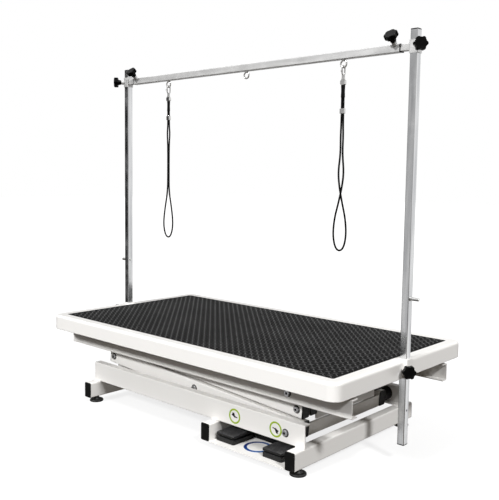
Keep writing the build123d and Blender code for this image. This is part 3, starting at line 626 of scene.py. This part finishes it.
def trim_blank():
    """A square ring with its axis along X."""
    deselect()
    bpy.ops.mesh.primitive_cube_add(size=1)
    trim = named("trim_blank")
    trim.scale = (TRIM_T, TRIM_OUT, TRIM_OUT)
    settle(trim)
    edit(trim)
    pick_edges(trim, lambda p, q: abs(p.x - q.x) > TRIM_T / 2)
    bpy.ops.mesh.bevel(offset=TRIM_ROUND, segments=3)
    pick_faces(trim, lambda c, n: abs(n.x) > 0.5)
    bpy.ops.mesh.inset(thickness=TRIM_WALL, use_individual=True)
    bpy.ops.mesh.bridge_edge_loops()
    face_outwards()
    done()
    return trim


trim = trim_blank()
for side, tag in ((-1, "left"), (1, "right")):
    dress(copied(trim, "bar_end_trim_" + tag, at(side * (BAR_END + TRIM_T / 2), 0, BAR_Z)),
          PLUG_BLACK_AND_PAINTED_SHADE, "bar")

# ---------------------------------------------------------------- welds between the base tubes and beams
WELD_R, WELD_STEP, WELD_BEADS, WELD_INSET, WELD_PROUD = 0.0021, 0.0026, 11, 0.002, 0.0004
TUBE_HALF = 0.0155
BEAM_FLANGE = 0.024


def weld_blank():
    """A row of overlapping flattened beads along X."""
    deselect()
    bpy.ops.mesh.primitive_ico_sphere_add(subdivisions=2, radius=WELD_R, location=(0, 0, 0))
    bead = named("weld_blank")
    edit(bead)
    bpy.ops.transform.resize(value=(0.75, 1.0, 0.8), center_override=(0, 0, 0))
    done()
    spread(bead, WELD_BEADS, (WELD_STEP, 0, 0))
    apply_all(bead)
    return bead


weld = weld_blank()
seams = []
for x in CROSS_X:
    for side in (-1, 1):
        for face, y in (("face", BEAM_FACE + WELD_PROUD), ("back", BEAM_FACE - BEAM_FLANGE - WELD_PROUD)):
            seams.append(copied(weld, "weld_%s_%d_%d" % (face, round(x * 1000), side),
                                at(x - TUBE_HALF + WELD_INSET, side * y, CROSS_TOP + WELD_PROUD)))
dress(joined(seams, "base_welds"), WHITE, "base")

# ---------------------------------------------------------------- black strip behind the pedals, painted shade in the dark gap under the beam
SHADE_STRIP_LEFT, SHADE_STRIP_RIGHT, SHADE_STRIP_LOW, SHADE_STRIP_HIGH = 0.1445, 0.3660, 0.0222, 0.0620
SHADE_STRIP_T, SHADE_STRIP_GAP = 0.003, 0.0045
PANEL_EDGE, PANEL_PROUD = 0.005, 0.0012


def painted_shade_strip():
    """A thin black strip with a raised panel on its front, put in as painted shade behind the pedals."""
    pedals_back = max(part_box(node)[1][1] for node in ("pedal_housings", "pedal_left", "pedal_right"))
    middle_y = pedals_back + SHADE_STRIP_GAP
    deselect()
    bpy.ops.mesh.primitive_cube_add(
        size=1, location=((SHADE_STRIP_LEFT + SHADE_STRIP_RIGHT) / 2, middle_y, (SHADE_STRIP_LOW + SHADE_STRIP_HIGH) / 2))
    shade_strip = named("painted_shade_strip")
    shade_strip.scale = (SHADE_STRIP_RIGHT - SHADE_STRIP_LEFT, SHADE_STRIP_T, SHADE_STRIP_HIGH - SHADE_STRIP_LOW)
    settle(shade_strip)
    edit(shade_strip)
    pick_faces(shade_strip, lambda c, n: n.y < -0.5)
    bpy.ops.mesh.inset(thickness=PANEL_EDGE)
    bpy.ops.mesh.extrude_region_move(TRANSFORM_OT_translate={"value": (0, -PANEL_PROUD, 0)})
    pick_edges(shade_strip, lambda p, q: max(p.y, q.y) < middle_y - SHADE_STRIP_T / 2 - PANEL_PROUD * 0.8)
    bpy.ops.mesh.bevel(offset=0.0006, segments=2)
    done()
    # Black: painted shade where the space behind the pedals lies in shadow.
    dress(shade_strip, PLUG_BLACK_AND_PAINTED_SHADE, "base")


painted_shade_strip()

# ---------------------------------------------------------------- pointers printed inside the green rings
POINTER_WIDE, POINTER_LONG, POINTER_T = 0.0150, 0.0210, 0.0003
POINTER_SHIFT, POINTER_PROUD = 0.0045, 0.0006


def pointer_blank():
    """A flat wedge that lies on its side, broad at one end."""
    deselect()
    bpy.ops.mesh.primitive_cylinder_add(vertices=3, radius=0.5, depth=POINTER_T)
    wedge = named("pointer_blank")
    edit(wedge)
    bpy.ops.transform.resize(value=(POINTER_WIDE, POINTER_LONG, 1), center_override=(0, 0, 0))
    bpy.ops.transform.translate(value=(0, -POINTER_SHIFT, 0))
    bpy.ops.mesh.bevel(offset=0.0001, segments=1)
    done()
    return wedge


wedge = pointer_blank()
for x, tag, turn in zip(LABEL_X, ("left", "right"), (135, -50)):
    place = at(x, -BEAM_FACE - POINTER_PROUD, LABEL_Z) @ turned(turn, "Y") @ turned(90, "X")
    dress(copied(wedge, "pointer_" + tag, place), INK, "base")

# ---------------------------------------------------------------- sleeves over the two strands under each eye
SLEEVE_TOP, SLEEVE_LOW, SLEEVE_WALL = 1.0300, 0.9960, 0.0005
SLEEVE_WIDE, SLEEVE_DEEP, SLEEVE_PINCH = 0.0134, 0.0080, 0.10


def sleeve_blank():
    """An oval sleeve that is slightly pinched at its middle."""
    long = SLEEVE_TOP - SLEEVE_LOW
    deselect()
    bpy.ops.mesh.primitive_cylinder_add(vertices=32, radius=0.5, depth=long, end_fill_type="NOTHING",
                                        location=(0, 0, (SLEEVE_TOP + SLEEVE_LOW) / 2))
    sleeve = named("sleeve_blank")
    sleeve.scale = (SLEEVE_WIDE, SLEEVE_DEEP, 1)
    settle(sleeve)
    edit(sleeve)
    bpy.ops.mesh.subdivide(number_cuts=6)
    done()
    for point in sleeve.data.vertices:
        pinch = 1 - SLEEVE_PINCH * math.sin(math.pi * (point.co.z - SLEEVE_LOW) / long) ** 2
        point.co.x *= pinch
        point.co.y *= pinch
    wall = sleeve.modifiers.new("wall", "SOLIDIFY")
    wall.thickness = SLEEVE_WALL
    wall.offset = -1
    edge = sleeve.modifiers.new("edge", "BEVEL")
    edge.width = 0.0002
    edge.segments = 2
    apply_all(sleeve)
    return sleeve


sleeve = sleeve_blank()
for side, tag in ((-1, "left"), (1, "right")):
    dress(copied(sleeve, "loop_sleeve_" + tag, at(side * RING_X, 0, 0)), BY_SLOT["cord_black"],
          "loop_" + tag)

for blank in (washer, socket, trim, weld, wedge, sleeve):
    bpy.data.objects.remove(blank)

# ---------------------------------------------------------------- studio
deselect()
bpy.ops.mesh.primitive_plane_add(size=40, location=(0, 0, 0))
floor = named("studio_floor")
paper = Finish("pale_paper")
paper.colour(paper.blend(paper.noise(2.0), (0.20, 0.20, 0.20), (0.22, 0.22, 0.22)))
paper.set(Roughness=0.9, Emission_Color=(1, 1, 1, 1), Emission_Strength=0.80)
floor.data.materials.append(paper.material)
floor.visible_diffuse = False
floor.visible_glossy = False
floor.visible_shadow = False


def sun(name, azimuth, elevation, strength, soft):
    light = bpy.data.lights.new(name, "SUN")
    light.energy = strength
    light.angle = math.radians(soft)
    lamp = bpy.data.objects.new(name, light)
    a, e = math.radians(azimuth), math.radians(elevation)
    lamp.rotation_euler = Vector((math.sin(a) * math.cos(e), -math.cos(a) * math.cos(e),
                                  math.sin(e))).to_track_quat("Z", "Y").to_euler()
    scene.collection.objects.link(lamp)


sun("right_light", 70, 42, 2.35, 8)
sun("front_light", -8, 33, 2.6, 8)


def studio_walls():
    """White walls for the camera, a soft room for matt surfaces, and dark and light panels for gloss."""
    world = bpy.data.worlds.new("studio_walls")
    scene.world = world
    world.use_nodes = True
    nodes, links = world.node_tree.nodes, world.node_tree.links
    back = nodes["Background"]
    place = nodes.new("ShaderNodeTexCoord").outputs["Generated"]

    def lobe(direction, low, high):
        dot = nodes.new("ShaderNodeVectorMath")
        dot.operation = "DOT_PRODUCT"
        dot.inputs[1].default_value = Vector(direction).normalized()
        links.new(place, dot.inputs[0])
        ramp = nodes.new("ShaderNodeMapRange")
        ramp.interpolation_type = "SMOOTHSTEP"
        ramp.inputs["From Min"].default_value = low
        ramp.inputs["From Max"].default_value = high
        links.new(dot.outputs["Value"], ramp.inputs["Value"])
        return ramp.outputs["Result"]

    def mixed(share, first, second):
        mix = nodes.new("ShaderNodeMix")
        mix.data_type = "RGBA"
        links.new(share, mix.inputs["Factor"])
        for key, source in ((6, first), (7, second)):
            if isinstance(source, tuple):
                mix.inputs[key].default_value = source
            else:
                links.new(source, mix.inputs[key])
        return mix.outputs[2]

    soft = mixed(lobe((0, 0, 1), -0.10, 0.55), (0.055, 0.046, 0.036, 1), (0.62, 0.62, 0.62, 1))
    soft = mixed(lobe((0.90, 0.38, 0.18), 0.25, 0.80), soft, (0.10, 0.086, 0.070, 1))
    walls = mixed(lobe((0, 0, 1), -0.40, 0.05), (0.09, 0.078, 0.062, 1), (0.48, 0.48, 0.48, 1))
    walls = mixed(lobe((0, 0, 1), 0.45, 0.85), walls, (1.15, 1.15, 1.15, 1))
    for direction, low, high, tone in (
            ((0.64, 0.76, 0), 0.82, 0.92, 0.92),
            ((-0.47, -0.83, -0.30), 0.93, 0.98, 0.62),
            ((-0.79, -0.61, -0.02), 0.965, 0.985, 0.015),
            ((-0.80, 0.53, 0.24), 0.88, 0.97, 0.10),
            ((-0.66, 0.73, -0.22), 0.90, 0.96, 0.60)):
        walls = mixed(lobe(direction, low, high), walls, (tone, tone, tone, 1))
    ray = nodes.new("ShaderNodeLightPath")
    walls = mixed(ray.outputs["Is Glossy Ray"], soft, walls)
    seen = mixed(ray.outputs["Is Camera Ray"], walls, (1, 1, 1, 1))
    links.new(seen, back.inputs["Color"])
    back.inputs["Strength"].default_value = 1.0


studio_walls()

deselect()
